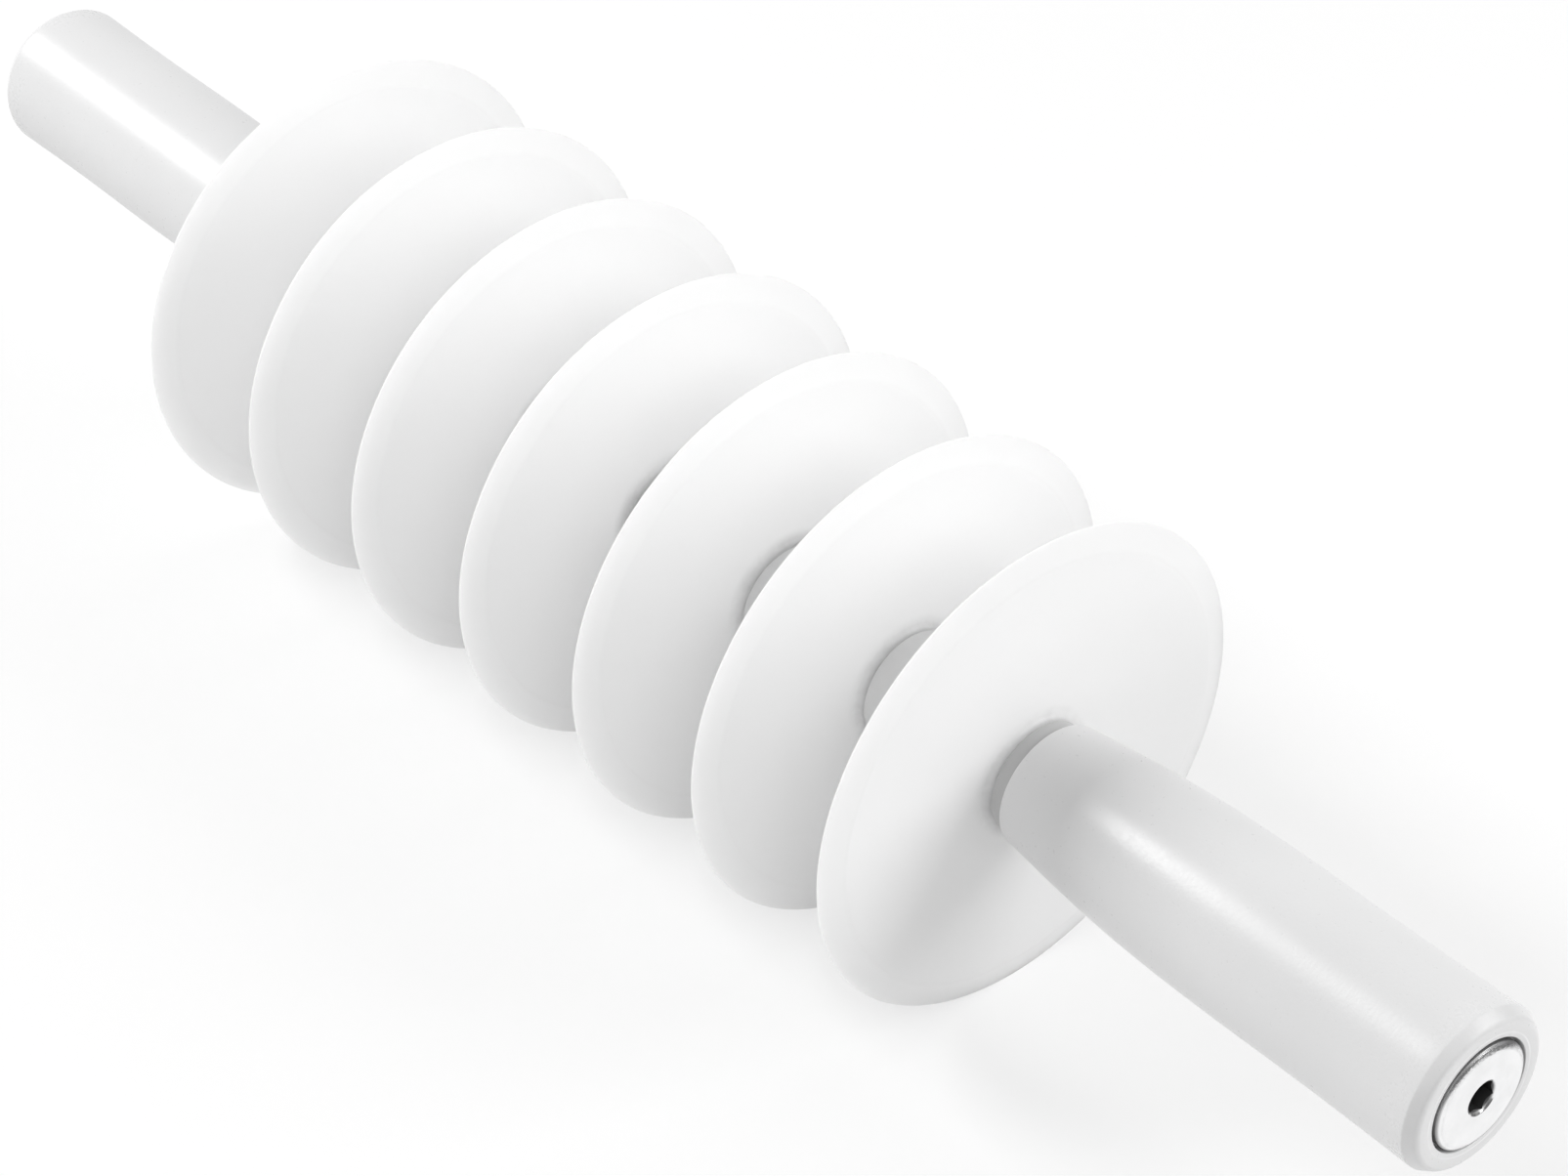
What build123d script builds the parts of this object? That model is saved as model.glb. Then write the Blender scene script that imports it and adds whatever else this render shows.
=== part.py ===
from build123d import *
from math import cos, pi, tan
import os

# A pasta cutter: seven round blades on an axle, spaced by rings, between two handles that turn.
# The long axis is X, with the middle blade at the origin. Right is +X and left is -X.

os.makedirs("parts", exist_ok=True)

# The stack on the axle: the cut width is the pitch of the blades
blade_count = 7
cut_width = 30.0
rings_per_gap = 5
hub_width = 5.0
hub_r = 10.0
washer_width = 2.5
edge_break = 0.1

# Blades
blade_r = 44.0
blade_thickness = 2.5
bevel_width = 4.9
bevel_bulge = 0.15
blade_edge_r = 0.2
hub_root_r = 1.1

# Axle, with a tapped hole in each end
axle_r = 6.0
axle_slip = 0.05
axle_setback = 1.0
axle_chamfer = 0.8
tap_extra_depth = 5.0
tap_mouth = 0.6
drill_point_angle = 118

# Bearing sleeves, clamped between the washers and the screw heads
sleeve_wall = 1.45
sleeve_chamfer = 0.3

# Handles, which turn on the sleeves with a little end play
running_slip = 0.05
end_play = 0.3
handle_length = 90.4
handle_inner_r = 11.0
handle_grip_r = 14.06
handle_outer_r = 14.3
# Share of the length up to the rim, and share of the rise from the inner radius to the grip radius
taper_shares = ((0.135, 0.46), (0.28, 0.815), (0.5, 1.0), (0.76, 0.985))
handle_inner_round = 0.5
handle_bore_chamfer = 0.5
rim_length = 2.1
rim_drop = 1.2
rim_crest_round = 0.6
rim_face_round = 1.2
recess_depth = 2.0
recess_mouth = 0.2

# End screws with a flanged head and a hexagon socket
head_r = 9.4
head_gap = 0.55
head_height = 2.4
head_face_r = 8.5
head_bevel_height = 0.6
thread_r = 4.0
thread_depth = 0.7
thread_pitch = 1.25
neck_length = 1.5
shank_length = 20.0
key_size = 5.0
socket_depth = 4.0
socket_mouth = 0.3
socket_turn = 40

# Places worked out from the sizes above
ring_width = (cut_width - hub_width) / rings_per_gap
bore_r = axle_r + axle_slip
sleeve_r = bore_r + sleeve_wall
last_blade_x = cut_width * (blade_count - 1) / 2
stack_end = last_blade_x + hub_width / 2 + washer_width
handle_start = stack_end + end_play
handle_end = handle_start + handle_length
recess_floor = handle_end - recess_depth
head_seat = recess_floor + end_play
head_face = head_seat + head_height
axle_end = head_seat - axle_setback
tap_r = thread_r + axle_slip
tap_depth = shank_length - axle_setback + tap_extra_depth
drill_slope = tan(drill_point_angle / 2 * pi / 180)


def save(part, name):
    part.label = name
    export_step(part, f"parts/{name}.step")


def make_collar(start, width, outer_r, inner_r, chamfer_size):
    """A plain turned collar from start to start + width, with its four edges broken."""
    with BuildPart() as collar:
        with BuildSketch(Plane(origin=(start, 0, 0))):
            with Locations((width / 2, (outer_r + inner_r) / 2)):
                Rectangle(width, outer_r - inner_r)
            chamfer(vertices(), length=chamfer_size)
        revolve(axis=Axis.X)
    return collar.part


def make_blade(x):
    """A disc with a hub as wide as a ring's module and a rim ground from both sides."""
    hub = hub_width / 2
    web = blade_thickness / 2
    bevel_start = blade_r - bevel_width
    edge_start = blade_r - blade_edge_r
    with BuildPart() as blade:
        with BuildSketch(Plane(origin=(x, 0, 0))):
            with BuildLine():
                Polyline((-web, bevel_start), (-web, hub_r), (-hub, hub_r), (-hub, bore_r),
                         (hub, bore_r), (hub, hub_r), (web, hub_r), (web, bevel_start))
                SagittaArc((web, bevel_start), (blade_edge_r, edge_start), -bevel_bulge)
                ThreePointArc((blade_edge_r, edge_start), (0, blade_r), (-blade_edge_r, edge_start))
                SagittaArc((-blade_edge_r, edge_start), (-web, bevel_start), -bevel_bulge)
            make_face()
            # Corners of the sketch, which lies in its own plane's coordinates
            hub_points = vertices().filter_by(lambda v: abs(abs(v.X) - hub) < edge_break)
            root_points = vertices().filter_by_position(Axis.Y, hub_r - edge_break, hub_r + edge_break)
            root_points = root_points.filter_by(lambda v: abs(abs(v.X) - web) < edge_break)
            chamfer(hub_points, length=edge_break)
            fillet(root_points, radius=hub_root_r)
        revolve(axis=Axis.X)
    return blade.part


def make_handle(side):
    """A turned grip: a long taper, a slight waist, a broken rim, a through bore and a shallow recess."""
    handle_bore_r = sleeve_r + running_slip
    recess_r = head_r + head_gap
    body_length = handle_length - rim_length
    rise = handle_grip_r - handle_inner_r
    start = (side * handle_start, handle_inner_r)
    crest = (side * (handle_end - rim_length), handle_outer_r)
    rim = (side * handle_end, handle_outer_r - rim_drop)
    taper = [(side * (handle_start + along * body_length), handle_inner_r + up * rise)
             for along, up in taper_shares]
    bore_ends = [(side * recess_floor, handle_bore_r), (side * handle_start, handle_bore_r)]
    mouth = (side * handle_end, recess_r)
    with BuildPart() as handle:
        with BuildSketch():
            with BuildLine():
                Spline(start, *taper, crest)
                Polyline(crest, rim, mouth, (side * recess_floor, recess_r), *bore_ends, start)
            make_face()
            fillet(vertices().sort_by_distance((*start, 0))[:1], radius=handle_inner_round)
            fillet(vertices().sort_by_distance((*crest, 0))[:1], radius=rim_crest_round)
            fillet(vertices().sort_by_distance((*rim, 0))[:1], radius=rim_face_round)
            chamfer(vertices().sort_by_distance((*mouth, 0))[:1], length=recess_mouth)
            for end in bore_ends:
                chamfer(vertices().sort_by_distance((*end, 0))[:1], length=handle_bore_chamfer)
        revolve(axis=Axis.X)
    return handle.part


def make_screw(side):
    """A flanged screw: bevelled head, hexagon socket, plain neck, and grooves at the thread's pitch."""
    groove_count = int((shank_length - neck_length) / thread_pitch) - 1
    root_r = thread_r - thread_depth
    groove_half = thread_pitch / 2
    # Points of half the section, as distances inwards from the head's seat and radii
    outline = [(-head_height, 0), (-head_height, head_face_r), (-head_height + head_bevel_height, head_r),
               (0, head_r), (0, thread_r), (neck_length, thread_r)]
    for groove in range(groove_count):
        groove_x = neck_length + groove * thread_pitch
        outline += [(groove_x + groove_half, root_r), (groove_x + thread_pitch, thread_r)]
    outline += [(shank_length - thread_depth, thread_r), (shank_length, root_r), (shank_length, 0)]
    corner_r = key_size / 2 / cos(pi / 6)
    mouth_r = corner_r + socket_mouth
    socket_r = key_size / 2
    socket_end = head_face - socket_depth
    with BuildPart() as screw:
        with BuildSketch():
            with BuildLine():
                Polyline(*[(side * (head_seat - inwards), r) for inwards, r in outline], close=True)
            make_face()
        revolve(axis=Axis.X)
        with BuildSketch(Plane.YZ.offset(side * head_face)):
            RegularPolygon(corner_r, 6, rotation=socket_turn)
        extrude(amount=-side * socket_depth, mode=Mode.SUBTRACT)
        # Countersunk mouth and drilled bottom of the socket
        with BuildSketch():
            with BuildLine():
                Polyline((side * head_face, 0), (side * head_face, mouth_r),
                         (side * (head_face - mouth_r), 0), close=True)
            make_face()
            with BuildLine():
                Polyline((side * socket_end, 0), (side * socket_end, socket_r),
                         (side * (socket_end - socket_r / drill_slope), 0), close=True)
            make_face()
        revolve(axis=Axis.X, mode=Mode.SUBTRACT)
    return screw.part


# Axle rod: round bar with a tapped hole in each end, each with a countersunk mouth and a drilled bottom
with BuildPart() as axle:
    with BuildSketch(Plane.YZ.offset(-axle_end)):
        Circle(axle_r)
    extrude(amount=2 * axle_end)
    chamfer(edges().filter_by(GeomType.CIRCLE), length=axle_chamfer)
    for side in (-1, 1):
        tap_end = axle_end - tap_depth
        with BuildSketch():
            with BuildLine():
                Polyline((side * axle_end, 0), (side * axle_end, tap_r + tap_mouth),
                         (side * (axle_end - tap_mouth), tap_r), (side * tap_end, tap_r),
                         (side * (tap_end - tap_r / drill_slope), 0), close=True)
            make_face()
        revolve(axis=Axis.X, mode=Mode.SUBTRACT)
save(axle.part, "axle")

# Blades and the rings between them
for number in range(blade_count):
    blade_x = number * cut_width - last_blade_x
    save(make_blade(blade_x), f"blade_{number + 1}")
for gap in range(blade_count - 1):
    first_ring_x = gap * cut_width - last_blade_x + hub_width / 2
    for number in range(rings_per_gap):
        ring = make_collar(first_ring_x + number * ring_width, ring_width, hub_r, bore_r, edge_break)
        save(ring, f"ring_{gap + 1}_{number + 1}")

# Washers, sleeves, handles and screws at both ends
sleeve_length = head_seat - stack_end
for side, name, washer_x, sleeve_x in ((-1, "left", -stack_end, -head_seat),
                                       (1, "right", stack_end - washer_width, stack_end)):
    save(make_collar(washer_x, washer_width, hub_r, bore_r, edge_break), f"washer_{name}")
    save(make_collar(sleeve_x, sleeve_length, sleeve_r, bore_r, sleeve_chamfer), f"sleeve_{name}")
    save(make_handle(side), f"handle_{name}")
    save(make_screw(side), f"screw_{name}")
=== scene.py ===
"""A pasta cutter rolling pin: seven round blades on an axle, spaced by rings, with two handles.

The long axis is X, up is Z, and the middle blade is at the origin. Everything is in metres.
"""

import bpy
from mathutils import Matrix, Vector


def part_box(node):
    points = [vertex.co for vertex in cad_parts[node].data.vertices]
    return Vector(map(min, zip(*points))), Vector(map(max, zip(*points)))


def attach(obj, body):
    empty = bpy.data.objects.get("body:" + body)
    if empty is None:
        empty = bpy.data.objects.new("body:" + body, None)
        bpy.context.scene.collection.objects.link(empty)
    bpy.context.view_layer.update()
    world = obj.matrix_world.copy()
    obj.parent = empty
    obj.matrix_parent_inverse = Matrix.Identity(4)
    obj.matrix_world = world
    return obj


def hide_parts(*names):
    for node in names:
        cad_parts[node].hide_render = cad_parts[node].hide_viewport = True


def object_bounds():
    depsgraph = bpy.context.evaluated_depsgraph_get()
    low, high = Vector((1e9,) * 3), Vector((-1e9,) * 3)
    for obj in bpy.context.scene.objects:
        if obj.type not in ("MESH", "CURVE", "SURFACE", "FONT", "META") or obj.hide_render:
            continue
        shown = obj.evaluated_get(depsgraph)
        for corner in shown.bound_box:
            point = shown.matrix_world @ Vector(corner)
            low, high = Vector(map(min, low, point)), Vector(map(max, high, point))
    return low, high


bl_info = {
    "name": "Pasta Cutter Rolling Pin",
    "version": (1, 0, 0),
    "blender": (4, 5, 0),
    "location": "View3D > Sidebar > Pasta Cutter",
    "description": "Builds a pasta cutter's blades, rings, handles and screws on its fixed frame",
    "category": "Add Mesh",
}

import math
from collections import Counter

import bmesh
import bpy
from bpy.props import FloatProperty, FloatVectorProperty, IntProperty, PointerProperty
from mathutils import Matrix, Vector
from mathutils.geometry import interpolate_bezier

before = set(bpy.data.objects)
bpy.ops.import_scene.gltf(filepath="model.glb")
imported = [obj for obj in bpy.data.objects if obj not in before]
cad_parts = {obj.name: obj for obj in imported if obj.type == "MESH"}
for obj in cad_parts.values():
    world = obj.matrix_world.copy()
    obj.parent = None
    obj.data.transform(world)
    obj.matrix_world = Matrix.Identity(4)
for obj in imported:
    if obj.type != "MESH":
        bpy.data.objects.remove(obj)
cad_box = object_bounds()

MM = 0.001
CLOSE = 0.001 * MM

# Boxes of the frame's nodes, which give the places and sizes that the new pieces keep
axle_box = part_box("axle")
blade_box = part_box("blade_4")
ring_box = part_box("ring_1_1")
washer_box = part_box("washer_right")
sleeve_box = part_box("sleeve_right")
handle_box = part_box("handle_right")
screw_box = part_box("screw_right")

# Numbers of pieces along the axle
BLADE_COUNT = 7
GAP_COUNT = BLADE_COUNT - 1
RINGS_PER_GAP = 5

# The handle's taper: shares of its length up to the rim, and of the rise to the grip's radius
TAPER_SHARES = ((0.135, 0.46), (0.28, 0.815), (0.5, 1.0), (0.76, 0.985))
TAPER_STEPS = 10

# Corners sharper than these stay crisp when a piece is shaded smooth
TURNED_CORNER = math.radians(24)
SCREW_CORNER = math.radians(20)

# Tangent of half the point angle of the drill that made the socket's bottom
DRILL_SLOPE = math.tan(math.radians(59))

# How deep the fine relief is in the small plastic pieces, the handles, the plating and the steel
SKIN_DEPTH = 0.006 * MM
HANDLE_SKIN_DEPTH = 0.03 * MM
PLATING_DEPTH = 0.006 * MM
STEEL_DEPTH = 0.008 * MM

# Lamps: name, place, width along the axle, height, and the setting that holds the power
LAMPS = (
    ("key_lamp", (-0.985, -0.61, 0.965), 0.78, 0.53, "key_power"),
    ("back_lamp", (0.64, 0.52, 0.42), 0.6, 0.6, "back_power"),
    ("front_lamp", (0.50, -0.80, 0.20), 0.6, 0.4, "front_power"),
)

# Grey boards beside the right end: name, the two ends of the foot, and the heights of foot and top
FLAGS = (
    ("front_flag", (0.205, -0.13), (0.265, 0.06), -0.003, 0.032),
    ("side_flag", (0.265, 0.06), (0.190, 0.12), cad_box[0].z + MM, 0.065),
)

CAMERA_PLACE = Vector((0.45165, -0.36214, 0.44141))
CAMERA_AIM = Vector((0.01984, 0.00983, -0.01086))
CAMERA_SENSOR = 36.0
CAMERA_REACH = (0.01, 50.0)


def length_prop(name, description, default):
    return FloatProperty(name=name, description=description, default=default, min=0.0,
                         precision=5, subtype="DISTANCE", unit="LENGTH")


def colour_prop(name, description, default):
    return FloatVectorProperty(name=name, description=description, default=default,
                               size=3, min=0.0, max=1.0, subtype="COLOR")


def share_prop(name, description, default):
    return FloatProperty(name=name, description=description, default=default,
                         min=0.0, max=1.0, subtype="FACTOR")


def power_prop(name, description, default):
    return FloatProperty(name=name, description=description, default=default, min=0.0, unit="POWER")


def segments_prop(piece, default):
    return IntProperty(name="Segments", description=f"Segments round {piece}",
                       default=default, min=32, max=2 * default)


class BladeSettings(bpy.types.PropertyGroup):
    """Sizes and looks of the blades"""
    radius: length_prop("Radius", "From the axis to the cutting edge", blade_box[1].z)
    thickness: length_prop("Thickness", "Thickness of the flat web", 2.5 * MM)
    bevel_width: length_prop("Bevel width", "Radial width of the ground rim", 4.9 * MM)
    bevel_bulge: length_prop("Bevel bulge", "How far each ground side bulges", 0.08 * MM)
    edge_radius: length_prop("Edge radius", "Roundness of the cutting edge", 0.2 * MM)
    hub_radius: length_prop("Hub radius", "Outer radius of the hub", ring_box[1].z)
    hub_width: length_prop("Hub width", "Length along the axle", blade_box[1].x - blade_box[0].x)
    root_radius: length_prop("Root radius", "Round between hub and web", 1.1 * MM)
    bore_slip: length_prop("Bore slip", "Room between the bore and the axle", 0.05 * MM)
    segments: segments_prop("a blade", 240)
    colour: colour_prop("Colour", "Colour of the blades' plastic", (0.965, 0.965, 0.965))
    roughness: share_prop("Roughness", "Roughness of the blades' plastic", 0.42)
    glow: length_prop("Glow", "How far light spreads inside the plastic", 5.0 * MM)
    # The stain setting is painted shade: how strongly the blade's root is painted darker where it
    # meets the hub
    root_shade: share_prop("Root shade", "How far use has dulled the root", 0.42)


class RingSettings(bpy.types.PropertyGroup):
    """Sizes and looks of the spacer rings and the two washers"""
    radius: length_prop("Radius", "Outer radius of the rings and washers", ring_box[1].z)
    ring_width: length_prop("Ring width", "Length along the axle", ring_box[1].x - ring_box[0].x)
    washer_width: length_prop("Washer width", "Length along the axle",
                              washer_box[1].x - washer_box[0].x)
    edge_break: length_prop("Edge break", "Size of the broken edges", 0.1 * MM)
    segments: segments_prop("a ring", 128)
    # The rings' grey, well below the blades' white, is painted shade between the blades
    colour: colour_prop("Colour", "Colour of the rings' plastic", (0.75, 0.75, 0.75))
    # The washers' dark grey is painted shade beside the handles' inner ends
    washer_shade_colour: colour_prop("Washer colour", "Colour of the washers", (0.52, 0.52, 0.52))
    roughness: share_prop("Roughness", "Roughness of the rings' plastic", 0.48)


class HandleSettings(bpy.types.PropertyGroup):
    """Sizes and looks of the handles"""
    inner_radius: length_prop("Inner radius", "Radius beside the blades", 11.0 * MM)
    grip_radius: length_prop("Grip radius", "Radius along the grip", 14.06 * MM)
    crest_radius: length_prop("Crest radius", "Radius at the outer rim's crest", 14.3 * MM)
    rim_length: length_prop("Rim length", "Length of the broken outer rim", 2.1 * MM)
    rim_drop: length_prop("Rim drop", "How far the rim drops towards the end", 1.2 * MM)
    inner_round: length_prop("Inner round", "Round on the inner end", 0.5 * MM)
    crest_round: length_prop("Crest round", "Round on the rim's crest", 0.6 * MM)
    face_round: length_prop("Face round", "Round between the rim and the end face", 1.2 * MM)
    recess_radius: length_prop("Recess radius", "Radius round the screw's head", 9.95 * MM)
    recess_depth: length_prop("Recess depth", "Depth of the recess", 2.0 * MM)
    recess_mouth: length_prop("Recess mouth", "Round on the recess's mouth", 0.2 * MM)
    bore_slip: length_prop("Bore slip", "Room between the bore and the sleeve", 0.05 * MM)
    bore_chamfer: length_prop("Bore chamfer", "Chamfer on the bore's ends", 0.5 * MM)
    segments: segments_prop("a handle", 160)
    colour: colour_prop("Colour", "Colour of the handles' plastic", (0.79, 0.79, 0.792))
    roughness: share_prop("Roughness", "Roughness of the handles' plastic", 0.31)


class ScrewSettings(bpy.types.PropertyGroup):
    """Sizes and looks of the end screws"""
    head_radius: length_prop("Head radius", "Radius of the flanged head", screw_box[1].z)
    face_radius: length_prop("Face radius", "Radius of the head's flat face", 8.5 * MM)
    head_height: length_prop("Head height", "From the seat to the face", 2.4 * MM)
    bevel_height: length_prop("Bevel height", "Height of the head's bevel", 0.6 * MM)
    edge_round: length_prop("Edge round", "Round on the head's edges", 0.09 * MM)
    face_round: length_prop("Face round", "Round between face and bevel", 0.65 * MM)
    key_size: length_prop("Key size", "Hexagon socket across its flats", 5.0 * MM)
    socket_depth: length_prop("Socket depth", "Depth of the hexagon socket", 4.0 * MM)
    socket_mouth: length_prop("Socket mouth", "Countersink past the socket's corners", 0.3 * MM)
    socket_turn: FloatProperty(name="Socket turn", description="Turn of the hexagon about the axis",
                               default=math.radians(50), subtype="ANGLE", unit="ROTATION")
    thread_radius: length_prop("Thread radius", "Outer radius of the thread", 4.0 * MM)
    thread_depth: length_prop("Thread depth", "Depth of the thread", 0.7 * MM)
    thread_pitch: length_prop("Thread pitch", "Pitch of the thread", 1.25 * MM)
    neck_length: length_prop("Neck length", "Plain length under the head", 1.5 * MM)
    segments: segments_prop("a screw", 144)
    colour: colour_prop("Colour", "Colour of the bright plating", (0.93, 0.93, 0.935))
    roughness: share_prop("Roughness", "Roughness of the bright plating", 0.16)
    # The socket tone is painted shade: the share of colour left inside the socket and on the head's
    # side
    socket_shade_tone: share_prop("Socket shade tone", "Share of colour left by the scale", 0.12)


class SteelSettings(bpy.types.PropertyGroup):
    """Looks of the axle and the bearing sleeves"""
    axle_colour: colour_prop("Axle colour", "Colour of the drawn axle rod", (0.55, 0.55, 0.56))
    sleeve_colour: colour_prop("Sleeve colour", "Colour of the turned sleeves", (0.62, 0.61, 0.60))
    roughness: share_prop("Roughness", "Roughness of the steel", 0.3)


class StudioSettings(bpy.types.PropertyGroup):
    """Floor, lamps and camera"""
    floor_colour: colour_prop("Floor colour", "Colour of the floor", (0.72, 0.72, 0.72))
    floor_size: length_prop("Floor size", "Width of the floor", 12.0)
    flag_colour: colour_prop("Flag colour", "Colour of the grey boards", (0.19, 0.19, 0.19))
    ambient: share_prop("Ambient", "Even light from all round", 0.39)
    key_power: power_prop("Key power", "Power of the lamp over the left end", 14.8)
    back_power: power_prop("Back power", "Power of the lamp behind the right end", 4.25)
    front_power: power_prop("Front power", "Power of the lamp before the right end", 0.9)
    focal_length: FloatProperty(name="Focal length", description="Focal length of the camera",
                                default=97.78, min=1.0, subtype="DISTANCE_CAMERA", unit="CAMERA")


class CutterSettings(bpy.types.PropertyGroup):
    """All the settings of the pasta cutter"""
    blade: PointerProperty(name="Blades", type=BladeSettings)
    ring: PointerProperty(name="Rings and washers", type=RingSettings)
    handle: PointerProperty(name="Handles", type=HandleSettings)
    screw: PointerProperty(name="End screws", type=ScrewSettings)
    steel: PointerProperty(name="Axle and sleeves", type=SteelSettings)
    studio: PointerProperty(name="Studio", type=StudioSettings)


# Modelling

def deselect_all():
    if bpy.context.mode != "OBJECT":
        bpy.ops.object.mode_set(mode="OBJECT")
    bpy.ops.object.select_all(action="DESELECT")


def pick_piece(piece):
    """Makes one object the active one and the only one selected."""
    deselect_all()
    piece.select_set(True)
    bpy.context.view_layer.objects.active = piece


def name_piece(name, settle=False):
    """Names the object just made. Settling works its place, turn and size into its mesh."""
    piece = bpy.context.active_object
    piece.name = piece.data.name = name
    if settle:
        bpy.ops.object.transform_apply(location=True, rotation=True, scale=True)
    return piece


def draw_outline(name, points):
    """Draws an outline from point to point, each a place along the axis and a height over it."""
    deselect_all()
    bpy.ops.mesh.primitive_plane_add(size=MM, location=(points[0][0], 0, points[0][1]))
    piece = name_piece(name, settle=True)
    bpy.ops.object.mode_set(mode="EDIT")
    bpy.ops.mesh.select_mode(type="VERT")
    bpy.ops.mesh.select_all(action="SELECT")
    bpy.ops.mesh.merge(type="CENTER")
    for (x, height), (next_x, next_height) in zip(points, points[1:]):
        step = (next_x - x, 0, next_height - height)
        bpy.ops.mesh.extrude_vertices_move(TRANSFORM_OT_translate={"value": step})
    return piece


def spin_outline(segments):
    """Turns the outline being edited once round the axis and closes its seam and poles."""
    bpy.ops.mesh.select_all(action="SELECT")
    bpy.ops.mesh.spin(steps=segments, angle=math.tau, center=(0, 0, 0), axis=(1, 0, 0))
    bpy.ops.mesh.select_all(action="SELECT")
    bpy.ops.mesh.remove_doubles(threshold=CLOSE)
    bpy.ops.mesh.normals_make_consistent(inside=False)


def pick_circles(piece, *places):
    """Selects the circles of edges at these places, each a place along the axis and a radius."""
    bpy.ops.mesh.select_mode(type="EDGE")
    bpy.ops.mesh.select_all(action="DESELECT")
    mesh = bmesh.from_edit_mesh(piece.data)
    for edge in mesh.edges:
        ends = [(vert.co.x, math.hypot(vert.co.y, vert.co.z)) for vert in edge.verts]
        edge.select = any(all(math.dist(end, place) < 10 * CLOSE for end in ends)
                          for place in places)
    found = sum(edge.select for edge in mesh.edges)
    bmesh.update_edit_mesh(piece.data)
    if not found:
        raise RuntimeError(f"{piece.name} has no circle of edges at {places}")


def bevel_circles(piece, size, steps, *places):
    pick_circles(piece, *places)
    bpy.ops.mesh.bevel(offset=size, segments=steps, affect="EDGES")


def bulged(start, end, bulge, steps):
    """Points after start on a shallow arc to end, which bulges to the right of its run."""
    run, rise = end[0] - start[0], end[1] - start[1]
    chord = math.hypot(run, rise)
    points = []
    for step in range(1, steps + 1):
        share = step / steps
        out = 4 * bulge * share * (1 - share) / chord
        points.append((start[0] + run * share + rise * out, start[1] + rise * share - run * out))
    return points


def smooth_run(knots, steps):
    """Points on a smooth curve through the knots, with the given steps between each two."""
    spans = [b[0] - a[0] for a, b in zip(knots, knots[1:])]
    slopes = [(b[1] - a[1]) / span for a, b, span in zip(knots, knots[1:], spans)]
    tangents = [slopes[0], *slopes]
    # The slopes at the knots settle until the curve bends evenly through each of them
    settling_rounds = 24
    for _ in range(settling_rounds):
        tangents[0] = 1.5 * slopes[0] - 0.5 * tangents[1]
        tangents[-1] = 1.5 * slopes[-1] - 0.5 * tangents[-2]
        for k in range(1, len(slopes)):
            pull = 3 * (slopes[k - 1] / spans[k - 1] + slopes[k] / spans[k])
            pull -= tangents[k - 1] / spans[k - 1] + tangents[k + 1] / spans[k]
            tangents[k] = pull / (2 / spans[k - 1] + 2 / spans[k])
    points = []
    for (start, end), (leave, arrive) in zip(zip(knots, knots[1:]), zip(tangents, tangents[1:])):
        third = (end[0] - start[0]) / 3
        curve = interpolate_bezier((start[0], start[1], 0),
                                   (start[0] + third, start[1] + leave * third, 0),
                                   (end[0] - third, end[1] - arrive * third, 0),
                                   (end[0], end[1], 0), steps + 1)
        points += [(point.x, point.y) for point in curve[:-1]]
    return points + [knots[-1]]


def finish_shape(piece, smooth_angle, *sharp_places):
    """Shades a piece smooth but for its corners and sharp circles, and checks that it is closed."""
    if sharp_places:
        pick_piece(piece)
        bpy.ops.object.mode_set(mode="EDIT")
        pick_circles(piece, *sharp_places)
        bpy.ops.mesh.mark_sharp()
    pick_piece(piece)
    bpy.ops.object.shade_smooth_by_angle(angle=smooth_angle, keep_sharp_edges=True)
    mesh = bmesh.new()
    mesh.from_mesh(piece.data)
    open_edges = sum(len(edge.link_faces) != 2 for edge in mesh.edges)
    mesh.free()
    if open_edges:
        raise RuntimeError(f"{piece.name} has {open_edges} open edges")
    return piece


def copy_along(piece, name, distance):
    """A copy with its own mesh, moved along the axis."""
    pick_piece(piece)
    bpy.ops.object.duplicate(linked=False)
    bpy.ops.transform.translate(value=(distance, 0, 0))
    return name_piece(name, settle=True)


def copy_mirrored(piece, name):
    """A mirrored copy with its own mesh, for the other end of the axle."""
    pick_piece(piece)
    bpy.ops.object.duplicate(linked=False)
    made = name_piece(name)
    bpy.ops.object.mode_set(mode="EDIT")
    bpy.ops.mesh.select_all(action="SELECT")
    bpy.ops.transform.resize(value=(-1, 1, 1), center_override=(0, 0, 0))
    bpy.ops.mesh.normals_make_consistent(inside=False)
    bpy.ops.object.mode_set(mode="OBJECT")
    return made


def mount_piece(piece, body, node, material):
    """Gives a piece its material, its body and the node that it stands for."""
    piece.data.materials.clear()
    piece.data.materials.append(material)
    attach(piece, body)
    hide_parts(node)


def mount_row(first, own_node, nodes, prefix, material):
    """Copies a piece that stands for its own node to the row's other nodes, and mounts them all."""
    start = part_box(own_node)[0].x
    row = {own_node: first}
    for node in nodes:
        if node != own_node:
            row[node] = copy_along(first, prefix + node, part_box(node)[0].x - start)
    for node, piece in row.items():
        mount_piece(piece, "roller", node, material)


def mount_pair(right, slot, material, right_body="roller", left_body="roller"):
    """Mirrors a right piece to the left, and mounts both."""
    left = copy_mirrored(right, right.name.replace("right", "left"))
    mount_piece(right, right_body, f"{slot}_right", material)
    mount_piece(left, left_body, f"{slot}_left", material)


# Node trees

def add_node(tree, kind, inputs=None, **settings):
    """Adds a node with its settings and the values of its inputs."""
    node = tree.nodes.new(kind)
    for key, value in settings.items():
        setattr(node, key, value)
    for key, value in (inputs or {}).items():
        node.inputs[key].default_value = value
    return node


def feed(tree, value, socket):
    """Feeds an input with a number or colour, or with another node's output."""
    if isinstance(value, bpy.types.NodeSocket):
        tree.links.new(value, socket)
    else:
        socket.default_value = value


def add_math(tree, operation, *operands):
    """Adds a Math node. Each operand is a number or an output socket."""
    node = add_node(tree, "ShaderNodeMath", operation=operation)
    for operand, socket in zip(operands, node.inputs):
        feed(tree, operand, socket)
    return node.outputs[0]


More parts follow.
